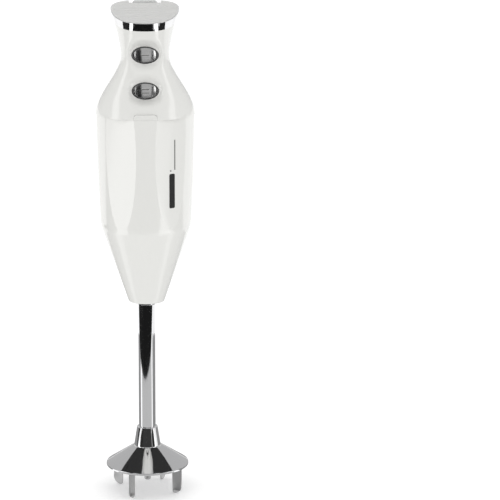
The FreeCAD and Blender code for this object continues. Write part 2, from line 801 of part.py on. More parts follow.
def make_drive_shaft():
    spigot_radius = shaft_radius - spigot_step
    shoulder = pin_height - pin_radius - 1.0
    outline = [
        (0, tip),
        (spigot_radius - 0.5, tip),
        (spigot_radius, tip + 0.5),
        (spigot_radius, shoulder),
        (shaft_radius, shoulder + 0.1),
        (shaft_radius, coupling_middle - 0.1),
        (0, coupling_middle - 0.1),
    ]
    shaft = spun(outline)
    cross = Part.makeCylinder(pin_radius, 20, Vector(-10, 0, pin_height), Vector(1, 0, 0))
    detent = Part.makeCylinder(detent_radius, 20, Vector(0, -10, tip + 2.0), Vector(0, 1, 0))
    return shaft.cut([cross, detent])


def make_cross_pin():
    half = shaft_radius + pin_overhang
    pin = Part.makeCylinder(pin_radius, 2 * half, Vector(-half, 0, pin_height), Vector(1, 0, 0))
    ends = [e for e in pin.Edges if isinstance(e.Curve, Part.Circle)]
    return pin.makeFillet(0.3, ends)


def make_retaining_rings():
    """One open ring above the lower bush and one below the upper bush."""
    made = []
    for low in (tube_foot + 0.15, tube_head - bush_length - 1.95):
        clip = ring(shaft_radius + 1.5, shaft_radius, low, low + 0.8)
        made.append(clip.cut(block(-1.6, 1.6, 0, 10, low - 1, low + 2)))
    return made


# ---------------------------------------------------------------- coupling and motor brackets
def make_coupling_housing():
    slope = (knee_radius - nose_radius) / cone_height
    room_at_foot = nose_radius + nose_floor * slope - wall * 1.06
    foot_radius = room_at_foot - 1.6
    cage_inner = shaft_radius + 4.6
    outline = [
        (tube_radius, socket_low),
        (foot_radius, socket_low),
        (foot_radius, tube_head - 2),
        (cage_inner + 3.0, socket_stop),
        (cage_inner + 3.0, bracket_low - 2.5),
        (bracket_plate, bracket_low - 2.5),
        (bracket_plate, bracket_low),
        (cage_inner, bracket_low),
        (cage_inner, socket_stop),
        (shaft_radius + 1.2, socket_stop),
        (shaft_radius + 1.2, tube_head),
        (tube_radius, tube_head),
    ]
    body = spun(outline)
    window = block(-3.5, 3.5, -30, 30, coupling_low + 1, coupling_high - 1)
    holes = [cylinder(1.25, bracket_low - 5, bracket_low + 1, *place) for place in flange_screw_places]
    return body.cut([window] + holes)


bracket_plate = 16.5
flange_screw_places = []
for index in range(3):
    angle = math.radians(90 + 120 * index)
    flange_screw_places.append((13.8 * math.cos(angle), 13.8 * math.sin(angle)))


def make_flange_screws():
    made = []
    for x, y in flange_screw_places:
        shank = cylinder(1.25, bracket_low - 2.5, bracket_low + 2.6, x, y)
        made.append(shank.fuse(cylinder(2.2, bracket_low - 4.3, bracket_low - 2.5, x, y)).removeSplitter())
    return made


def make_coupling_sleeve():
    body = cylinder(shaft_radius + 3.2, coupling_low, coupling_high)
    ends = [e for z in (coupling_low, coupling_high) for e in circle_edges(body, shaft_radius + 3.2, z)]
    body = body.makeChamfer(0.5, ends)
    lower = cylinder(shaft_radius, coupling_low - 1, coupling_middle)
    upper = cylinder(motor_shaft_radius, coupling_middle, coupling_high + 1)
    screws = [rod(1.2, Vector(0, 0, z), Vector(0, -20, z)) for z in set_screw_heights]
    return body.cut([lower, upper] + screws)


set_screw_heights = (coupling_low + 3.6, coupling_high - 3.6)


def make_set_screws():
    made = []
    for z, inner in zip(set_screw_heights, (shaft_radius, motor_shaft_radius)):
        screw = rod(1.2, Vector(0, 0, z), Vector(0, -shaft_radius - 3.0, z))
        made.append(screw.cut(cylinder(inner, z - 3, z + 3)))
    return made


def make_lower_bracket():
    flange_top = stator_low
    reach_out = stator_radius
    plate = cylinder(bracket_plate, bracket_low, bracket_low + 3.0)
    hub = cylinder(bearing_radius + 2.5, bracket_low, lower_bearing + bearing_width)
    arm = [
        (bearing_radius + 1.5, bracket_low),
        (bracket_plate + 3.0, bracket_low),
        (reach_out, flange_top - 4.5),
        (reach_out, flange_top),
        (reach_out - yoke_wall + 1.0, flange_top),
        (reach_out - yoke_wall + 1.0, fan_high + 0.4),
        (fan_radius + 1.5, bracket_low + 5.0),
        (bearing_radius + 1.5, bracket_low + 5.0),
    ]
    right = plate_in_xz(arm, 5.0)
    body = plate.fuse([hub, right, turned(right, 180)])
    cuts = [cylinder(bearing_radius, lower_bearing, stator_low)]
    cuts.append(cylinder(bearing_radius - 2.0, 0, stator_low))
    cuts += [cylinder(1.25, bracket_low - 1, bracket_low + 2.6, x, y) for x, y in flange_screw_places]
    cuts += [cylinder(1.5, stator_low - 8, stator_low + 1, side * screw_ring) for side in (-1, 1)]
    return body.cut(cuts)


def make_upper_bracket():
    leg = block(stator_radius - yoke_wall + 0.3, stator_radius - 0.6, -5, 5, stator_high, deck_high)
    bridge = block(-stator_radius + 0.6, stator_radius - 0.6, -5, 5, deck_low, deck_high)
    arms = block(-6, 6, -brush_holder_end - 1, brush_holder_end + 1, deck_low, deck_high)
    disc = cylinder(16.5, deck_low, deck_high)
    hub = cylinder(bearing_radius + 2.3, deck_low, upper_bearing + bearing_width + 0.4)
    body = bridge.fuse([leg, turned(leg, 180), arms, disc, hub])
    cuts = [cylinder(bearing_radius, upper_bearing, upper_bearing + 20)]
    cuts.append(cylinder(bearing_radius - 2.0, deck_low - 1, head))
    for side in (-1, 1):
        cuts.append(cylinder(1.6, stator_high - 1, deck_high + 1, side * screw_ring))
        cuts.append(cylinder(1.5, deck_low - 1, deck_high + 1, side * long_screw_x, long_screw_y))
    return body.cut(cuts).removeSplitter()


def make_motor_screws():
    low = stator_low - 7.0
    return [cap_screw(1.5, 2.75, 2.4, low, deck_high, side * screw_ring, 0) for side in (-1, 1)]


def make_housing_screws():
    low = deck_low + 0.3
    return [cap_screw(1.5, 2.75, 2.2, low, web_high, side * long_screw_x, long_screw_y) for side in (-1, 1)]


def make_damper(low):
    return ring(stator_radius + 2.6, stator_radius, low, low + 5.0)


# ---------------------------------------------------------------- motor
def make_stator_core():
    yoke = ring(stator_radius, stator_radius - yoke_wall, stator_low, stator_high)
    bore = armature_radius + air_gap
    pieces = []
    for direction in (90, -90):
        shoe = sector(bore + shoe_wall, bore, stator_low, stator_high, direction, pole_reach)
        pole = block(-neck_of_pole, neck_of_pole, bore + 1, stator_radius - 1, stator_low, stator_high)
        pieces += [shoe, turned(pole, direction - 90)]
    pieces = [p.cut(cylinder(bore, stator_low - 1, stator_high + 1)) for p in pieces]
    core = yoke.fuse(pieces)
    core = core.common(cylinder(stator_radius, stator_low, stator_high))
    holes = [cylinder(1.6, stator_low - 1, stator_high + 1, side * screw_ring) for side in (-1, 1)]
    return core.cut(holes).removeSplitter()


def make_field_coils():
    inner = armature_radius + air_gap + shoe_wall + loose
    outer = stator_radius - yoke_wall - loose
    loop = sector(outer, inner, stator_low - end_turn, stator_high + end_turn, 90, coil_reach)
    half = neck_of_pole + loose
    window = block(-half, half, 0, 40, stator_low - loose, stator_high + loose)
    return both_sides(loop.cut(window))


def make_armature_core():
    core = ring(armature_radius, motor_shaft_radius, stator_low, stator_high)
    slot = block(9.0, armature_radius - 1.5, -1.6, 1.6, stator_low - 1, stator_high + 1)
    mouth = block(10.0, armature_radius + 1, -0.9, 0.9, stator_low - 1, stator_high + 1)
    cutter = slot.fuse(mouth)
    return core.cut([turned(cutter, 360 * i / armature_slots) for i in range(armature_slots)])


def make_armature_windings():
    inner = motor_shaft_radius + 3.0
    outer = armature_radius - 1.2
    turn = end_turn - 1.0
    low_ring = spun([(inner, -turn), (outer - 1.5, -turn), (outer, -turn + 1.8), (outer, 0), (inner, 0)])
    high_ring = low_ring.mirror(Vector(0, 0, 0), Vector(0, 0, 1))
    low_ring.translate(Vector(0, 0, stator_low))
    high_ring.translate(Vector(0, 0, stator_high))
    bar = block(9.05, armature_radius - 1.6, -1.5, 1.5, stator_low - 1, stator_high + 1)
    bars = [turned(bar, 360 * i / armature_slots) for i in range(armature_slots)]
    return low_ring.fuse(bars + [high_ring])


def make_commutator_hub():
    return ring(commutator_radius - 3.5, motor_shaft_radius, riser_low, commutator_high)


def make_commutator_bars():
    body = ring(commutator_radius, commutator_radius - 3.5, riser_low, commutator_high)
    riser = ring(commutator_radius + 1.5, commutator_radius - 3.5, riser_low, riser_low + 1.8)
    body = body.fuse(riser).removeSplitter()
    gap = block(0, commutator_radius + 5, -0.25, 0.25, riser_low - 1, commutator_high + 1)
    return body.cut([turned(gap, 360 * (i + 0.5) / commutator_bars) for i in range(commutator_bars)])


def make_armature_shaft():
    shaft = cylinder(motor_shaft_radius, coupling_middle + 0.1, motor_shaft_high)
    return shaft.makeChamfer(0.6, circle_edges(shaft, motor_shaft_radius, motor_shaft_high))


def make_fan():
    hub = ring(motor_shaft_radius + 3.0, motor_shaft_radius, fan_low, fan_high)
    disc = ring(fan_radius, motor_shaft_radius + 1, fan_high - 1.2, fan_high)
    blade = block(motor_shaft_radius + 2, fan_radius - 0.4, -0.45, 0.45, fan_low + 0.4, fan_high)
    blade.rotate(Vector(motor_shaft_radius + 2, 0, fan_low), Vector(0, 0, 1), 22)
    blade = blade.common(cylinder(fan_radius, fan_low, fan_high))
    blades = [turned(blade, 360 * i / fan_blades) for i in range(fan_blades)]
    return hub.fuse([disc] + blades)


brush_start = commutator_radius + 0.05
brush_holder_end = brush_start + brush_length + brush_travel + 4.2


def make_brush_holder():
    """A brass box that guides one brush, with a foot up to the bracket's arm. This one is at +Y."""
    x = 0.5 * brush_width + 0.1
    z = 0.5 * brush_height + 0.1
    front = commutator_radius + 1.9
    low = brush_middle - z - 0.9
    high = brush_middle + z + 0.9
    outer = block(-x - 1.2, x + 1.2, front, brush_holder_end, low, high)
    room = block(-x, x, 0, brush_holder_end - 1.0, brush_middle - z, brush_middle + z)
    foot = block(-x - 1.2, x + 1.2, front + 1.1, brush_holder_end - 2, high, deck_low)
    return outer.cut(room).fuse(foot).removeSplitter()


def make_brush():
    """A carbon brush at +Y, hollowed to lie against the commutator."""
    x = 0.5 * brush_width
    z = 0.5 * brush_height
    body = block(-x, x, brush_start - 0.6, brush_start + brush_length, brush_middle - z, brush_middle + z)
    return body.cut(cylinder(brush_start, brush_middle - 20, brush_middle + 20))


def make_brush_spring():
    start = brush_start + brush_length
    spring = coil_spring(1.9, 0.25, brush_holder_end - 1.0 - start, 5)
    spring.rotate(Vector(0, 0, 0), Vector(1, 0, 0), -90)
    spring.translate(Vector(0, start, brush_middle))
    return spring


# ---------------------------------------------------------------- ball bearings
ball_pitch = 0.5 * (bearing_radius + motor_shaft_radius)


def make_race(inner, outer, low):
    """One race: a ring with a groove for the balls."""
    body = ring(outer, inner, low, low + bearing_width)
    groove = Part.makeTorus(ball_pitch, ball_radius + ball_play, Vector(0, 0, low + 0.5 * bearing_width))
    return body.cut(groove)


def make_inner_races():
    return [make_race(motor_shaft_radius, ball_pitch - 1.25, low) for low in (lower_bearing, upper_bearing)]


def make_outer_races():
    return [make_race(ball_pitch + 1.25, bearing_radius, low) for low in (lower_bearing, upper_bearing)]


def make_balls():
    made = []
    for low in (lower_bearing, upper_bearing):
        middle = low + 0.5 * bearing_width
        for index in range(ball_count):
            ball = Part.makeSphere(ball_radius, Vector(ball_pitch, 0, middle))
            made.append(turned(ball, 360 * index / ball_count))
    return made


def make_cages():
    made = []
    for low in (lower_bearing, upper_bearing):
        middle = low + 0.5 * bearing_width
        cage = ring(ball_pitch + 0.5, ball_pitch - 0.5, middle - 2.2, middle + 2.2)
        start = Vector(ball_pitch - 2, 0, middle)
        pocket = rod(ball_radius + ball_play, start, start + Vector(4, 0, 0))
        made.append(cage.cut([turned(pocket, 360 * i / ball_count) for i in range(ball_count)]))
    return made


# ---------------------------------------------------------------- wires inside the handle
def bent_wire(radius, points):
    """A wire along straight runs joined by tangent arcs."""
    edges = []
    last = points[0]
    for before, here, after in zip(points, points[1:], points[2:]):
        first = (before - here).normalize()
        second = (after - here).normalize()
        turn = math.pi - first.getAngle(second)
        run = min((before - here).Length, (after - here).Length)
        back = 0.45 * run
        bend = back / math.tan(0.5 * turn)
        start = here + first * back
        end = here + second * back
        inward = (first + second).normalize()
        middle = here + inward * (math.hypot(bend, back) - bend)
        edges.append(Part.LineSegment(last, start).toShape())
        edges.append(Part.Arc(start, middle, end).toShape())
        last = end
    edges.append(Part.LineSegment(last, points[-1]).toShape())
    path = Part.Wire(edges)
    section = Part.Wire(Part.makeCircle(radius, points[0], points[1] - points[0]))
    return path.makePipeShell([section], True, True)


def make_lead_wires():
    """A lead from the board's lower edge to each brush holder."""
    lean = math.radians(button_tilt)
    up = button_centres[1] - 5.0
    across = -0.5 * (switch_back + board_back)
    start_y = across * math.cos(lean) + up * math.sin(lean)
    start_z = frame_height - across * math.sin(lean) + up * math.cos(lean)
    holder_side = 0.5 * brush_width + 1.3
    reach_y = brush_holder_end - 5.0
    wires = []
    for side in (-1, 1):
        x = side * 7.6
        route = [
            Vector(x, start_y, start_z - 0.3),
            Vector(x, start_y + side * 2.0, start_z - 6.0),
            Vector(x, side * (reach_y - 2.0), deck_high + 8.0),
            Vector(x, side * reach_y, deck_high - 2.0),
            Vector(x, side * reach_y, brush_middle),
            Vector(side * holder_side, side * reach_y, brush_middle),
        ]
        wires.append(bent_wire(0.6, route))
    return wires


# ---------------------------------------------------------------- build
outer_skin = upper_volume(0)
inner_skin = upper_volume(wall)

save("lower_housing", make_lower_housing(inner_skin))
save("upper_housing", make_upper_housing(outer_skin, inner_skin))
save("top_cap", make_top_cap(outer_skin, upper_volume(plate_rim)))
save("top_plate", make_top_plate(upper_volume(plate_rim + 0.05)))
save("gland_gasket", make_gland_gasket(upper_volume(plate_rim)))
save("cord_gland", make_gland())
save("housing_seal", make_housing_seal())
save("nose_seal", make_nose_seal())

save("guard_bell", make_guard_bell())
save("guard_fins", *make_guard_fins())
save("shaft_tube", make_tube())
save("tube_ring", make_tube_ring())
save("lower_bush", make_bush(bush_low))
middle_bush_low = 0.5 * (tube_foot + tube_head) - 0.5 * bush_length
save("upper_bushes", make_bush(middle_bush_low), make_bush(tube_head - bush_length - 1.0))
save("shaft_seal", make_shaft_seal())
save("drive_shaft", make_drive_shaft())
save("cross_pin", make_cross_pin())
save("retaining_rings", *make_retaining_rings())

save("coupling_housing", make_coupling_housing())
save("coupling_sleeve", make_coupling_sleeve())
save("coupling_set_screws", *make_set_screws())
save("lower_bracket", make_lower_bracket())
save("upper_bracket", make_upper_bracket())
save("motor_screws", *make_motor_screws())
save("housing_screws", *make_housing_screws())
save("motor_dampers", make_damper(stator_low + 3), make_damper(stator_high - 8))

save("stator_core", make_stator_core())
save("field_coils", *make_field_coils())
save("armature_core", make_armature_core())
save("armature_windings", make_armature_windings())
save("armature_shaft", make_armature_shaft())
save("commutator_hub", make_commutator_hub())
save("commutator_bars", make_commutator_bars())
save("fan", make_fan())
save("brush_holders", *both_sides(make_brush_holder()))
save("rear_brush", make_brush())
save("front_brush", turned(make_brush(), 180))
save("rear_brush_spring", make_brush_spring())
save("front_brush_spring", turned(make_brush_spring(), 180))
save("inner_races", *make_inner_races())
save("outer_races", *make_outer_races())
save("bearing_balls", *make_balls())
save("bearing_cages", *make_cages())

for place, centre, ridges in (("low", button_centres[0], 1), ("high", button_centres[1], 2)):
    save(f"{place}_speed_button", make_button(centre, ridges))
    save(f"{place}_speed_bezel", make_bezel(centre))
    save(f"{place}_speed_plunger", make_plunger(centre))
    save(f"{place}_speed_spring", make_button_spring(centre))
save("switches", *[make_switch(centre) for centre in button_centres])
save("switch_carrier", make_carrier())
save("circuit_board", make_board())
save("capacitor", make_capacitor())
save("diode", make_diode())
save("terminal_block", make_terminal_block())
save("cord_clamp", make_cord_clamp())
save("small_screws", *make_flange_screws(), *make_carrier_screws(), *make_clamp_screws())
save("lead_wires", *make_lead_wires())
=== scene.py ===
"""Immersion blender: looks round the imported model.

Metres, +Z up, the buttons face -Y, the floor is at Z = 0. Outlines are in millimetres, as (radius, height).
"""

import json
import math

import bpy
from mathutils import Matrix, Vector

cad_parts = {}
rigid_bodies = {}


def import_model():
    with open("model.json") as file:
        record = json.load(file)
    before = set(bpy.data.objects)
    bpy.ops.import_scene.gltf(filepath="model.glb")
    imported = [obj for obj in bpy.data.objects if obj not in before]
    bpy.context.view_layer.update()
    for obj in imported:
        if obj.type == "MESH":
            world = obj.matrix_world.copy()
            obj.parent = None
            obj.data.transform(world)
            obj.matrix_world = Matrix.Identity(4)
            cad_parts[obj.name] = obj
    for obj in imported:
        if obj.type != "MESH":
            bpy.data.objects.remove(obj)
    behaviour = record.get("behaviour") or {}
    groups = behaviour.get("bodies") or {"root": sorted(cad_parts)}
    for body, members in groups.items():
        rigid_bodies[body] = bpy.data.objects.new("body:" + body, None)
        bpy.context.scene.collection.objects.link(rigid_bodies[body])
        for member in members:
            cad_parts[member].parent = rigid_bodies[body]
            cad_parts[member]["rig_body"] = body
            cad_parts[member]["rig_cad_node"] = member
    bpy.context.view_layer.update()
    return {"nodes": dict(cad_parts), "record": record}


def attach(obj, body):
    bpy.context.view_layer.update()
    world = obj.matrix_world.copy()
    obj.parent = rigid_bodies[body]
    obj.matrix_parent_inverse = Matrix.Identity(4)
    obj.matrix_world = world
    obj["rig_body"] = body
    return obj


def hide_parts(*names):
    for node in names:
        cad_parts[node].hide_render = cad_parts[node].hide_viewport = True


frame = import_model()
nodes = frame["nodes"]
MM = 0.001

# Heights and radii shared with the part, in millimetres.
FRAME_MIDDLE = 302.0  # the buttons lean about this height
SEAM = 272.5
KNEE = 194.5
NOSE = 139.1
BARREL = SEAM - KNEE
KNEE_RADIUS = 31.5
TUBE_RADIUS = 5.9
TUBE_BORE = 5.1
TUBE_FOOT = 38.1
TUBE_HEAD = 152.8
BUTTON_LEAN = 10  # degrees


# ---------------------------------------------------------------- shader maths
class Signal:
    """A node's output. Python's arithmetic on it adds Math nodes."""

    def __init__(self, paint, socket):
        self.paint = paint
        self.socket = socket

    def maths(self, operation, *values):
        return self.paint.node("Math", {"operation": operation}, dict(enumerate(values)))

    def __add__(self, other):
        return self.maths("ADD", self, other)

    def __radd__(self, other):
        return self.maths("ADD", other, self)

    def __sub__(self, other):
        return self.maths("SUBTRACT", self, other)

    def __rsub__(self, other):
        return self.maths("SUBTRACT", other, self)

    def __mul__(self, other):
        return self.maths("MULTIPLY", self, other)

    def __rmul__(self, other):
        return self.maths("MULTIPLY", other, self)

    def __abs__(self):
        return self.maths("ABSOLUTE", self)

    def at_least(self, other):
        return self.maths("MAXIMUM", self, other)

    def below(self, other):
        return self.maths("LESS_THAN", self, other)

    def above(self, other):
        return self.maths("GREATER_THAN", self, other)

    def sine(self):
        return self.maths("SINE", self)


class Paint:
    """One material and the calls that build its nodes."""

    def __init__(self, name, **constants):
        self.material = bpy.data.materials.new(name)
        self.material.use_nodes = True
        self.tree = self.material.node_tree
        self.shader = self.tree.nodes["Principled BSDF"]
        for socket, value in constants.items():
            self.shader.inputs[socket.replace("_", " ")].default_value = value
        self.place = self.node("TexCoord", {}, {}, "Object")

    def node(self, kind, settings, values, output=0):
        made = self.tree.nodes.new("ShaderNode" + kind)
        for name, value in settings.items():
            setattr(made, name, value)
        for name, value in values.items():
            if isinstance(value, Signal):
                self.tree.links.new(value.socket, made.inputs[name])
            else:
                made.inputs[name].default_value = value
        return Signal(self, made.outputs[output])

    def xyz(self):
        """The three object coordinates, in millimetres."""
        scaled = self.node("VectorMath", {"operation": "SCALE"}, {0: self.place, "Scale": 1000.0})
        split = self.tree.nodes.new("ShaderNodeSeparateXYZ")
        self.tree.links.new(scaled.socket, split.inputs[0])
        return [Signal(self, output) for output in split.outputs]

    def stretched(self, x, y, z):
        """Object coordinates scaled along each axis, for streaked patterns."""
        return self.node("Mapping", {}, {"Vector": self.place, "Scale": (x, y, z)})

    def noise(self, scale, detail=2.0, roughness=0.5, vector=None):
        settings = {"noise_dimensions": "3D"}
        values = {"Vector": vector or self.place, "Scale": scale, "Detail": detail, "Roughness": roughness}
        return self.node("TexNoise", settings, values)

    def spread(self, signal, low, high, start=0.0, end=1.0):
        """Maps a signal from low..high onto start..end."""
        values = {"Value": signal, "From Min": low, "From Max": high, "To Min": start, "To Max": end}
        return self.node("MapRange", {}, values)

    def blend(self, share, first, second):
        return self.node("MixRGB", {}, {"Fac": share, "Color1": first, "Color2": second})

    def colour(self, value):
        self.link("Base Color", value)

    def rough(self, value):
        self.link("Roughness", value)

    def bump(self, height, strength, distance=0.0001):
        values = {"Height": height, "Strength": strength, "Distance": distance}
        self.link("Normal", self.node("Bump", {}, values))

    def link(self, socket, value):
        self.tree.links.new(value.socket, self.shader.inputs[socket])


def rgb(red, green, blue):
    return (red, green, blue, 1.0)


def gloss_plastic(name, colour, roughness, printed=False):
    """Moulded plastic with a faint ripple from the mould and a few soft marks from handling."""
    paint = Paint(name, IOR=1.49, Coat_Weight=0.35, Coat_Roughness=0.04)
    cloud = paint.noise(18.0, 3.0)
    shade = paint.blend(cloud, rgb(*[c * 0.985 for c in colour]), rgb(*colour))
    if printed:
        x, y, z = paint.xyz()
        front = y.below(0.0)
        bar = print_mask(x, z, 17.9, 222.5, 1.9, 12.0)
        line = print_mask(x, z, 19.8, 247.5, 0.4, 10.5)
        dot = print_mask(x, z, 17.0, 236.6, 0.5, 0.5)
        ink = bar.at_least(line * 0.8).at_least(dot * 0.8) * front
        shade = paint.blend(ink, shade, rgb(0.006, 0.006, 0.006))
        paint.link("Coat Weight", (1.0 - ink) * 0.35)
    paint.colour(shade)
    marks = paint.noise(420.0, 4.0, 0.6)
    rough = paint.spread(marks, 0.3, 0.75, roughness, roughness + 0.05)
    if printed:
        rough = rough + ink * 0.5
    paint.rough(rough)
    paint.bump(paint.noise(160.0, 2.0), 0.05, 0.0002)
    return paint.material


def print_mask(x, z, centre_x, centre_z, half_x, half_z):
    """1 inside an upright rounded bar seen from the front, 0 outside it."""
    corner = min(half_x, half_z) * 0.5
    across = (abs(x - centre_x) - (half_x - corner)).at_least(0.0)
    along = (abs(z - centre_z) - (half_z - corner)).at_least(0.0)
    return (across * across + along * along).below(corner * corner)


def metal(name, colour, roughness, scale=(1, 1, 1), streak=0.0, bump=0.0, tint=0.04):
    """Metal with streaks along its working direction.

    scale stretches the streaks: a small number is the long way.
    """
    paint = Paint(name, Metallic=1.0)
    grain = paint.noise(900.0, 4.0, 0.65, paint.stretched(*scale))
    dark = rgb(*[c * (1 - tint) for c in colour])
    cloud = paint.noise(45.0, 3.0)
    paint.colour(paint.blend(grain * 0.5 + cloud * 0.5, dark, rgb(*colour)))
    paint.rough(paint.spread(grain, 0.3, 0.7, roughness - 0.4 * streak, roughness + streak))
    if bump:
        paint.bump(grain, bump, 0.00004)
    return paint.material


def trim(name, colour, dark):
    """Polished chrome. Round the buttons its colour is painted dark, as painted shade and a painted dark
    reflection, so that the bezels read as thin dark rings.
    """
    paint = Paint(name, Metallic=1.0)
    x, y, z = paint.xyz()
    # The band of height that holds the bezels, where shade and a dark reflection are painted into the colour.
    painted_shade_round_buttons = z.above(270.0) * z.below(325.0)
    grain = paint.noise(700.0, 3.0)
    bright = paint.blend(grain, rgb(*[c * 0.98 for c in colour]), rgb(*colour))
    # Painted shade and painted dark reflection: the chrome in that band, the bezels, takes the dark grey
    # instead of its own colour.
    paint.colour(paint.blend(painted_shade_round_buttons, bright, rgb(dark, dark, dark)))
    paint.rough(paint.spread(grain, 0.3, 0.7, 0.05, 0.08))
    return paint.material


def dull(name, colour, roughness, scale=700.0, bump=0.15, tint=0.12):
    """Moulded, pressed or rubber stuff with a fine matt grain."""
    paint = Paint(name)
    grain = paint.noise(scale, 3.0, 0.6)
    paint.colour(paint.blend(grain, rgb(*[c * (1 - tint) for c in colour]), rgb(*colour)))
    paint.rough(paint.spread(grain, 0.3, 0.7, roughness - 0.06, roughness + 0.06))
    paint.bump(grain, bump, 0.0001)
    return paint.material


def wound(name, colour, pitch):
    """Enamelled copper wire laid in fine turns."""
    paint = Paint(name, Metallic=0.75, Coat_Weight=0.6, Coat_Roughness=0.15)
    x, y, z = paint.xyz()
    wave = ((z + x * 0.1) * (2 * math.pi / pitch)).sine()
    turns = paint.spread(wave, -1.0, 1.0)
    paint.colour(paint.blend(turns, rgb(*[c * 0.55 for c in colour]), rgb(*colour)))
    paint.rough(paint.spread(paint.noise(600.0), 0.3, 0.7, 0.28, 0.4))
    paint.bump(turns, 0.4, 0.0001)
    return paint.material


def laminated(name, colour):
    """A stack of thin steel sheets."""
    paint = Paint(name, Metallic=1.0)
    x, y, z = paint.xyz()
    wave = (z * (2 * math.pi / 0.5)).sine()
    paint.colour(paint.blend(paint.spread(wave, -1.0, 1.0), rgb(*[c * 0.7 for c in colour]), rgb(*colour)))
    paint.rough(paint.spread(paint.noise(300.0, 3.0), 0.3, 0.7, 0.38, 0.52))
    paint.bump(wave, 0.25, 0.00005)
    return paint.material


WHITE = (0.76, 0.76, 0.735)
materials = {
    "shell_white": gloss_plastic("shell_white", WHITE, 0.13, printed=True),
    "gland_plastic": gloss_plastic("gland_plastic", (0.72, 0.73, 0.72), 0.25),
    "cap_brushed": metal("cap_brushed", (0.80, 0.80, 0.785), 0.27, (0.02, 1.4, 1.4), 0.12, 0.25),
    "chrome_trim": trim("chrome_trim", (0.78, 0.78, 0.785), 0.12),
    "button_metal": metal("button_metal", (0.70, 0.70, 0.695), 0.16, (0.04, 1, 1.3), 0.07, 0.1),
    "shaft_chrome": metal("shaft_chrome", (0.80, 0.80, 0.81), 0.05, (1, 1, 0.05), 0.02, 0.0, 0.02),
    "fin_steel": metal("fin_steel", (0.56, 0.56, 0.56), 0.34, (1, 1, 0.06), 0.08, 0.2),
    "spindle_steel": metal("spindle_steel", (0.58, 0.58, 0.585), 0.24, (0.3, 0.3, 1.6), 0.08, 0.15),
    "spring_steel": metal("spring_steel", (0.55, 0.55, 0.55), 0.30, (1, 1, 1), 0.06, 0.1),
    "bearing_steel": metal("bearing_steel", (0.62, 0.62, 0.63), 0.18, (0.4, 0.4, 1.5), 0.05, 0.1),
    "screw_zinc": metal("screw_zinc", (0.60, 0.60, 0.57), 0.34, (1, 1, 1), 0.08, 0.15),
    "holder_brass": metal("holder_brass", (0.72, 0.55, 0.25), 0.30, (0.3, 1, 1), 0.08, 0.15),
    "bare_copper": metal("bare_copper", (0.75, 0.40, 0.24), 0.26, (0.4, 0.4, 1.6), 0.08, 0.15),
    "sintered_bronze": metal("sintered_bronze", (0.50, 0.35, 0.20), 0.45, (1, 1, 1), 0.08, 0.4, 0.2),
    "core_steel": laminated("core_steel", (0.36, 0.37, 0.39)),
    "enamel_copper": wound("enamel_copper", (0.55, 0.22, 0.09), 0.55),
    "black_rubber": dull("black_rubber", (0.022, 0.022, 0.022), 0.72),
    "frame_plastic": dull("frame_plastic", (0.05, 0.05, 0.055), 0.55, 500.0, 0.2),
    "fan_plastic": dull("fan_plastic", (0.70, 0.70, 0.65), 0.5),
    "brush_carbon": dull("brush_carbon", (0.03, 0.03, 0.03), 0.6, 1200.0, 0.3, 0.3),
    "switch_black": dull("switch_black", (0.025, 0.025, 0.03), 0.45),
    "board_green": dull("board_green", (0.03, 0.17, 0.07), 0.4, 300.0, 0.05),
    "capacitor_yellow": dull("capacitor_yellow", (0.62, 0.42, 0.06), 0.3, 200.0, 0.05),
    "terminal_nylon": dull("terminal_nylon", (0.76, 0.76, 0.70), 0.5),
    "wire_sleeve": dull("wire_sleeve", (0.03, 0.08, 0.28), 0.45, 400.0, 0.05),
}

slot_of = {part["node"]: part["material_slot"] for part in frame["record"]["subparts"]}
body_of = {name: body for body, names in frame["record"]["behaviour"]["bodies"].items() for name in names}
for name, obj in nodes.items():
    obj.data.materials.clear()
    obj.data.materials.append(materials[slot_of[name]])


# ---------------------------------------------------------------- pieces
def alone(obj):
    """Selects one object and makes it the active one."""
    bpy.ops.object.select_all(action="DESELECT")
    obj.select_set(True)
    bpy.context.view_layer.objects.active = obj


def finished(obj, node):
    """Hands a finished piece to its CAD node's body, to be seen in that node's place."""
    obj.data.materials.clear()
    obj.data.materials.append(materials[slot_of[node]])
    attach(obj, body_of[node])
    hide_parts(node)


def smooth_copy(node):
    """A welded copy of a CAD node with smooth shading between its sharp edges."""
    alone(nodes[node])
    bpy.ops.object.duplicate()
    obj = bpy.context.active_object
    obj.name = node + "_finish"
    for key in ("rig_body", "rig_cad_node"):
        if key in obj:
            del obj[key]
    obj.parent = None
    bpy.ops.object.mode_set(mode="EDIT")
    bpy.ops.mesh.select_all(action="SELECT")
    bpy.ops.mesh.remove_doubles(threshold=0.000002)
    bpy.ops.object.mode_set(mode="OBJECT")
    bpy.ops.mesh.customdata_custom_splitnormals_clear()
    bpy.ops.object.shade_smooth_by_angle(angle=math.radians(32))
    return obj


def arc(middle, height, radius, start, end, steps):
    """Points (radius, height) along an arc of an outline, with angles in degrees from outward."""
    made = []
    for step in range(steps + 1):
        angle = math.radians(start + (end - start) * step / steps)
        made.append((middle + radius * math.cos(angle), height + radius * math.sin(angle)))
    return made


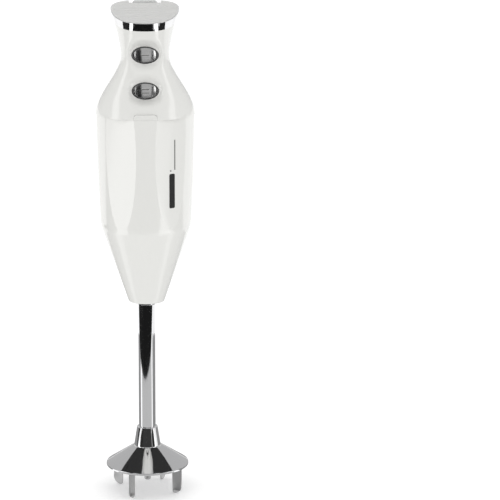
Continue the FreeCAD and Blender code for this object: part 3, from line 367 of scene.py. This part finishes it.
def turned_piece(name, outline, steps=128):
    """A closed ring of revolution, drawn out ring by ring along its (radius, height) outline."""
    bpy.ops.object.select_all(action="DESELECT")
    radius, height = outline[0]
    bpy.ops.mesh.primitive_circle_add(vertices=steps, radius=radius * MM, location=(0, 0, height * MM))
    obj = bpy.context.active_object
    obj.name = name
    bpy.ops.object.transform_apply(location=True, rotation=True, scale=True)
    bpy.ops.object.mode_set(mode="EDIT")
    bpy.ops.mesh.select_all(action="SELECT")
    for next_radius, next_height in outline[1:]:
        rise = (next_height - height) * MM
        bpy.ops.mesh.extrude_region_move(TRANSFORM_OT_translate={"value": (0, 0, rise)})
        grow = next_radius / radius
        bpy.ops.transform.resize(value=(grow, grow, 1), center_override=(0, 0, next_height * MM))
        radius, height = next_radius, next_height
    bpy.ops.mesh.select_all(action="SELECT")
    bpy.ops.mesh.select_mode(type="EDGE")
    bpy.ops.mesh.select_all(action="DESELECT")
    bpy.ops.mesh.select_non_manifold(extend=False)
    bpy.ops.mesh.bridge_edge_loops()
    bpy.ops.mesh.select_all(action="SELECT")
    bpy.ops.mesh.normals_make_consistent(inside=False)
    bpy.ops.mesh.select_mode(type="VERT")
    bpy.ops.object.mode_set(mode="OBJECT")
    return obj


def cut_with(obj, cutter, operation="DIFFERENCE"):
    """Applies a Boolean with another object and takes that object away."""
    alone(obj)
    cut = obj.modifiers.new("cut", "BOOLEAN")
    cut.operation = operation
    cut.solver = "EXACT"
    cut.object = cutter
    bpy.ops.object.modifier_apply(modifier=cut.name)
    bpy.data.objects.remove(cutter)
    return obj


def smooth_by(obj, degrees):
    alone(obj)
    bpy.ops.object.shade_smooth_by_angle(angle=math.radians(degrees))
    return obj


def bell_outline():
    """Rolled rim, shallow cone, fillet and collar outside; tube socket, boss and hollow inside."""
    rim = [(27.9, 18.8), (28.65, 18.8)]
    rim += arc(28.65, 19.35, 0.55, -90, 0, 8)
    rim += arc(28.65, 20.05, 0.55, 0, 57, 6)
    collar = [(9.95, 32.95)]
    collar += arc(10.2, 33.75, 0.9, 237, 190, 8)[1:]
    collar += [(7.25, 46.75)]
    collar += arc(6.55, 46.75, 0.35, 10, 90, 6)
    socket = [(TUBE_RADIUS, 47.1), (TUBE_RADIUS, TUBE_FOOT), (TUBE_BORE, TUBE_FOOT), (TUBE_BORE, 27.7)]
    hollow = [(7.2, 27.7), (8.0, 31.0), (27.9, 20.0)]
    return rim + collar + socket + hollow


def tube_outline():
    """A plain tube, with a few rings along it."""
    wall = [(TUBE_RADIUS, height) for height in (TUBE_FOOT, 60.0, 100.0, 140.0, TUBE_HEAD)]
    return [(TUBE_BORE, TUBE_FOOT)] + wall + [(TUBE_BORE, TUBE_HEAD)]


def ring_outline():
    """The thin ring where the tube leaves the handle's nose."""
    low = 136.7
    ring = [(TUBE_RADIUS, low), (6.0, low)]
    ring += arc(6.0, 136.9, 0.2, -90, 0, 5)
    ring += [(6.2, NOSE), (TUBE_RADIUS, NOSE)]
    return ring


finished(smooth_by(turned_piece("guard_bell_finish", bell_outline()), 12), "guard_bell")
finished(smooth_by(turned_piece("shaft_tube_finish", tube_outline()), 30), "shaft_tube")
finished(smooth_by(turned_piece("tube_ring_finish", ring_outline()), 25), "tube_ring")


def barrel_point(height):
    """The barrel's outer radius at a height, a slight bulge on a straight taper."""
    share = (height - KNEE) / BARREL
    return KNEE_RADIUS + 2.5 * share + 1.4 * share * (1 - share)


def facet_tool(degrees):
    """A block whose inner face is a facet's slightly hollow face, turned to face that way."""
    bpy.ops.object.select_all(action="DESELECT")
    bpy.ops.mesh.primitive_grid_add(x_subdivisions=44, y_subdivisions=1, size=2)
    obj = bpy.context.active_object
    for vertex in obj.data.vertices:
        height = 227.5 + vertex.co.x * 47.0
        share = (height - KNEE) / BARREL
        place = 31.4 - 2.294 * share + 3.044 * share * share
        if share < 0:
            place = 31.4 - 1.1 * share
        vertex.co = (place * MM, vertex.co.y * 40 * MM, height * MM)
    alone(obj)
    bpy.ops.object.mode_set(mode="EDIT")
    bpy.ops.mesh.select_all(action="SELECT")
    bpy.ops.mesh.extrude_region_move(TRANSFORM_OT_translate={"value": (0.03, 0, 0)})
    bpy.ops.mesh.select_all(action="SELECT")
    bpy.ops.mesh.normals_make_consistent(inside=False)
    angle = math.radians(degrees)
    bpy.ops.transform.rotate(value=-angle, orient_axis="Z", center_override=(0, 0, 0))
    bpy.ops.object.mode_set(mode="OBJECT")
    return obj


def lower_shell():
    """The lower shell below the seam: a turned wall with four long facets cut into it."""
    cone_slope = 18.85
    barrel_slope = 2.7
    knee_curve = 30
    outer = [(7.6, NOSE), (11.55, NOSE)]
    outer += arc(11.55, 140.3, 1.2, -90, -19, 22)
    slope = math.radians(cone_slope)
    turn = knee_curve * math.tan(0.5 * (slope - math.radians(barrel_slope)))
    start = (KNEE_RADIUS - turn * math.sin(slope), KNEE - turn * math.cos(slope))
    middle = (start[0] - knee_curve * math.cos(slope), start[1] + knee_curve * math.sin(slope))
    low = outer[-1]
    for step in range(1, 12):
        share = step / 12
        outer.append((low[0] + (start[0] - low[0]) * share, low[1] + (start[1] - low[1]) * share))
    outer += arc(middle[0], middle[1], knee_curve, -cone_slope, -barrel_slope, 14)
    first = outer[-1][1]
    for step in range(1, 41):
        height = first + (SEAM - first) * step / 40
        outer.append((barrel_point(height), height))
    inside = [(31.8, SEAM), (29.4, KNEE), (11.9, 142.1), (7.6, 142.1)]
    shell = turned_piece("lower_housing_finish", outer + inside, 256)
    for side in (-90, 90):
        for turn in (-32.5, 32.5):
            cut_with(shell, facet_tool(side + turn))
    return shell


def upper_rim():
    """The tongue and the front strip's end, above the seam."""
    obj = smooth_copy("lower_housing")
    bpy.ops.object.mode_set(mode="EDIT")
    bpy.ops.mesh.select_all(action="SELECT")
    seam_place = (0, 0, SEAM * MM)
    bpy.ops.mesh.bisect(plane_co=seam_place, plane_no=(0, 0, 1), use_fill=True, clear_inner=True)
    bpy.ops.object.mode_set(mode="OBJECT")
    obj.name = "lower_housing_rim"
    return obj


rim = upper_rim()
finished(smooth_by(lower_shell(), 3.5), "lower_housing")
finished(rim, "lower_housing")


def ellipse_prism(name, half_width, half_height, front, back, height):
    """An upright ellipse drawn out along Y, in millimetres from the frame's middle."""
    bpy.ops.object.select_all(action="DESELECT")
    depth = (back - front) * MM
    place = (0, 0.5 * (front + back) * MM, height * MM)
    turn = (math.pi / 2, 0, 0)
    bpy.ops.mesh.primitive_cylinder_add(vertices=128, radius=MM, depth=depth, location=place, rotation=turn)
    obj = bpy.context.active_object
    obj.name = name
    bpy.ops.transform.resize(value=(half_width, 1, half_height), center_override=place)
    bpy.ops.object.transform_apply(location=True, rotation=True, scale=True)
    return obj


def push_button(node, centre, marks):
    """An oval button: a face bowed across, raised marks, a flange and a stem, leaning back with the shell."""
    body = ellipse_prism(node + "_finish", 8.3, 4.85, -24.9, -15.1, centre)
    bpy.ops.object.select_all(action="DESELECT")
    drum_place = (0, -5.9 * MM, centre * MM)
    bpy.ops.mesh.primitive_cylinder_add(vertices=512, radius=14 * MM, depth=30 * MM, location=drum_place)
    cut_with(body, bpy.context.active_object, "INTERSECT")
    bevel = body.modifiers.new("edge", "BEVEL")
    bevel.width = 0.4 * MM
    bevel.segments = 5
    bevel.limit_method = "ANGLE"
    bevel.angle_limit = math.radians(40)
    bpy.ops.object.modifier_apply(modifier=bevel.name)
    parts = [body]
    for index in range(marks):
        bpy.ops.object.select_all(action="DESELECT")
        offset = centre + (index - 0.5 * (marks - 1)) * 2.5
        mark_place = (0, -19.7 * MM, offset * MM)
        bpy.ops.mesh.primitive_cube_add(size=MM, location=mark_place)
        bpy.ops.transform.resize(value=(5.4, 1.6, 1.1), center_override=mark_place)
        mark = bpy.context.active_object
        bpy.ops.object.transform_apply(location=True, rotation=True, scale=True)
        soften = mark.modifiers.new("soft", "BEVEL")
        soften.width = 0.4 * MM
        soften.segments = 3
        bpy.ops.object.modifier_apply(modifier=soften.name)
        parts.append(mark)
    parts.append(ellipse_prism("flange", 9.3, 6.15, -15.6, -14.6, centre))
    bpy.ops.object.select_all(action="DESELECT")
    place = (0, -13.2 * MM, centre * MM)
    turn = (math.pi / 2, 0, 0)
    bpy.ops.mesh.primitive_cylinder_add(
        vertices=48, radius=2.4 * MM, depth=2.8 * MM, location=place, rotation=turn
    )
    parts.append(bpy.context.active_object)
    alone(body)
    for part in parts:
        part.select_set(True)
    bpy.ops.object.join()
    bpy.ops.object.mode_set(mode="EDIT")
    bpy.ops.mesh.select_all(action="SELECT")
    pivot = (0, 0, FRAME_MIDDLE * MM)
    bpy.ops.transform.rotate(value=math.radians(BUTTON_LEAN), orient_axis="X", center_override=pivot)
    bpy.ops.object.mode_set(mode="OBJECT")
    bpy.ops.object.transform_apply(location=True, rotation=True, scale=True)
    return smooth_by(body, 25)


finished(push_button("low_speed_button", 311.8, 1), "low_speed_button")
finished(push_button("high_speed_button", 287.5, 2), "high_speed_button")

outside = [
    "upper_housing", "top_cap", "top_plate", "cord_gland", "gland_gasket", "guard_fins",
    "drive_shaft", "cross_pin", "shaft_seal", "low_speed_bezel", "high_speed_bezel",
]
for name in outside:
    finished(smooth_copy(name), name)


# ---------------------------------------------------------------- floor, cards and camera
def floor():
    bpy.ops.object.select_all(action="DESELECT")
    bpy.ops.mesh.primitive_grid_add(x_subdivisions=8, y_subdivisions=8, size=30)
    obj = bpy.context.active_object
    obj.name = "floor"
    paint = Paint("floor_paper", Roughness=0.7)
    paint.shader.inputs["Specular IOR Level"].default_value = 0.1
    paint.shader.inputs["Emission Color"].default_value = rgb(1.0, 1.0, 1.0)
    paint.shader.inputs["Emission Strength"].default_value = 0.22
    paint.colour(paint.blend(paint.noise(6.0), rgb(0.90, 0.90, 0.90), rgb(0.92, 0.92, 0.92)))
    obj.data.materials.append(paint.material)


def card(name, place, target, width, height, grey, glow=0.0):
    """A card outside the picture that only mirrors show, as a studio uses to shape reflections."""
    bpy.ops.object.select_all(action="DESELECT")
    way = Vector(place) - Vector(target)
    facing = way.to_track_quat("Z", "Y").to_euler()
    bpy.ops.mesh.primitive_grid_add(
        x_subdivisions=2, y_subdivisions=2, size=1, location=place, rotation=facing
    )
    obj = bpy.context.active_object
    obj.name = name
    obj.scale = (width, height, 1)
    hide_from_all_but_mirrors(obj, name, grey, glow)


def hide_from_all_but_mirrors(obj, name, grey, glow):
    paint = Paint(name + "_paper", Roughness=1.0)
    pale = grey * 1.1
    paint.colour(paint.blend(paint.noise(3.0), rgb(grey, grey, grey), rgb(pale, pale, pale)))
    paint.shader.inputs["Emission Color"].default_value = rgb(1.0, 1.0, 1.0)
    paint.shader.inputs["Emission Strength"].default_value = glow
    paint.shader.inputs["Specular IOR Level"].default_value = 0.0
    obj.data.materials.append(paint.material)
    obj.visible_camera = False
    obj.visible_diffuse = False
    obj.visible_shadow = False


def around(azimuth, distance, height):
    """A place round the blender: degrees from straight in front, positive to the right."""
    angle = math.radians(azimuth)
    return (distance * math.sin(angle), -distance * math.cos(angle), height)


def floor_patch(name, first, last, inner, outer, level, grey, glow=0.0):
    """A patch of floor between two azimuths and two distances, seen by mirrors only.

    inner is a distance, or a function that gives one for an azimuth.
    """
    bpy.ops.object.select_all(action="DESELECT")
    bpy.ops.mesh.primitive_grid_add(x_subdivisions=64, y_subdivisions=2, size=1)
    obj = bpy.context.active_object
    obj.name = name
    for vertex in obj.data.vertices:
        azimuth = first + (last - first) * (vertex.co.x + 0.5)
        start = inner(azimuth) if callable(inner) else inner
        distance = start + (vertex.co.y + 0.5) * (outer - start)
        vertex.co = around(azimuth, distance, level)
    hide_from_all_but_mirrors(obj, name, grey, glow)


def clear_distance(azimuth):
    """How far the clear floor reaches before the dark floor starts: least a little left of the front."""
    turn = abs(azimuth + 25)
    return 0.28 + 0.04 * (turn / 60) ** 2 + 0.12 * (turn / 110) ** 8


def room():
    """Pale grey walls far away, seen by mirrors only."""
    bpy.ops.object.select_all(action="DESELECT")
    bpy.ops.mesh.primitive_uv_sphere_add(segments=32, ring_count=16, radius=12)
    obj = bpy.context.active_object
    obj.name = "room"
    hide_from_all_but_mirrors(obj, "room", 0.02, 0.5)


floor()
room()
# Floor patches: azimuths from and to, distances from and to, height, grey, glow.
floor_patch("grey_floor", -73, 65, 0.02, 0.9, 0.002, 0.56)
floor_patch("near_left", -96, -73, 0.03, 0.6, 0.0025, 0.5, 0.8)
floor_patch("near_right", 66, 82, 0.03, 0.6, 0.0025, 0.5, 0.8)
floor_patch("back_right", 82, 200, 0.03, 0.42, 0.0025, 0.3)
floor_patch("back_left", -160, -96, 0.03, 0.42, 0.0025, 0.3)
floor_patch("dark_floor", -140, 84, clear_distance, 3.4, 0.003, 0.012)
floor_patch("far_left", -140, -50, 0.6, 3.2, 0.004, 0.5, 0.7)
floor_patch("far_right", 40, 140, 0.6, 3.2, 0.004, 0.5, 0.7)
# Cards: place, what it faces, width, height, grey, glow. These five shape the band of the cap.
card("glint_left", around(-54, 0.12, 0.22), around(-54, 0.0, 0.34), 0.035, 0.16, 0.5, 1.6)
card("glint_right", around(42, 0.12, 0.22), around(42, 0.0, 0.34), 0.035, 0.16, 0.5, 1.6)
card("shade_middle", around(-6, 0.15, 0.18), around(-6, 0.0, 0.34), 0.19, 0.13, 0.01)
card("shade_right", around(74, 0.14, 0.22), around(74, 0.0, 0.34), 0.075, 0.16, 0.02)
card("shade_left", around(-86, 0.14, 0.22), around(-86, 0.0, 0.34), 0.075, 0.16, 0.02)
# Dark cards that set off the collar of the guard.
card("low_dark_left", around(-58, 1.15, 0.2), (0, 0, 0.2), 0.54, 0.42, 0.02)
card("low_dark_right", around(57, 1.15, 0.2), (0, 0, 0.2), 0.5, 0.42, 0.02)
card("low_dark_far_left", around(-100, 1.15, 0.2), (0, 0, 0.2), 0.34, 0.42, 0.02)
card("low_dark_far_right", around(98, 1.15, 0.2), (0, 0, 0.2), 0.34, 0.42, 0.02)
# A grey fill between two dark bands for the faces of the buttons.
card("button_fill", around(8, 1.2, 0.49), (0, 0, 0.49), 1.26, 0.26, 0.3, 0.22)
card("button_dark", around(-42, 1.3, 0.55), (0, 0, 0.55), 0.8, 0.5, 0.01)
card("button_dark_right", around(46, 1.18, 0.5), (0, 0, 0.5), 0.2, 0.3, 0.01)
# The studio's large cards.
card("dark_front", (-0.5, -2.6, 0.3), (-0.5, 0, 0.3), 5.4, 1.1, 0.04)
card("softbox_left", around(-74, 1.25, 0.75), (0, 0, 0.75), 0.4, 1.6, 0.5, 1.7)
card("softbox_right", around(66, 1.25, 0.75), (0, 0, 0.75), 0.36, 1.6, 0.5, 1.7)
card("ceiling_left", (-0.43, 0.15, 1.05), (-0.43, 0.15, 0.0), 0.56, 1.1, 0.03)
card("ceiling_right", (0.40, 0.15, 1.05), (0.40, 0.15, 0.0), 0.52, 1.1, 0.03)
card("back_light", (0, 3.0, 2.4), (0, 0, 0.34), 3.4, 2.2, 0.5, 0.28)

world = bpy.data.worlds.new("studio")
bpy.context.scene.world = world
world.use_nodes = True
world.node_tree.nodes["Background"].inputs["Color"].default_value = rgb(1.0, 1.0, 1.0)
world.node_tree.nodes["Background"].inputs["Strength"].default_value = 1.0

camera = bpy.data.cameras.new("camera")
camera.lens_unit = "FOV"
camera.angle = math.radians(12.98)
eye = bpy.data.objects.new("camera", camera)
eye.location = (0, -1.502, 0.5196)
eye.rotation_euler = (math.radians(90 - 12.91), math.radians(-0.27), math.radians(-2.71))
bpy.context.scene.collection.objects.link(eye)
bpy.context.scene.camera = eye
bpy.context.scene.view_settings.view_transform = "Standard"
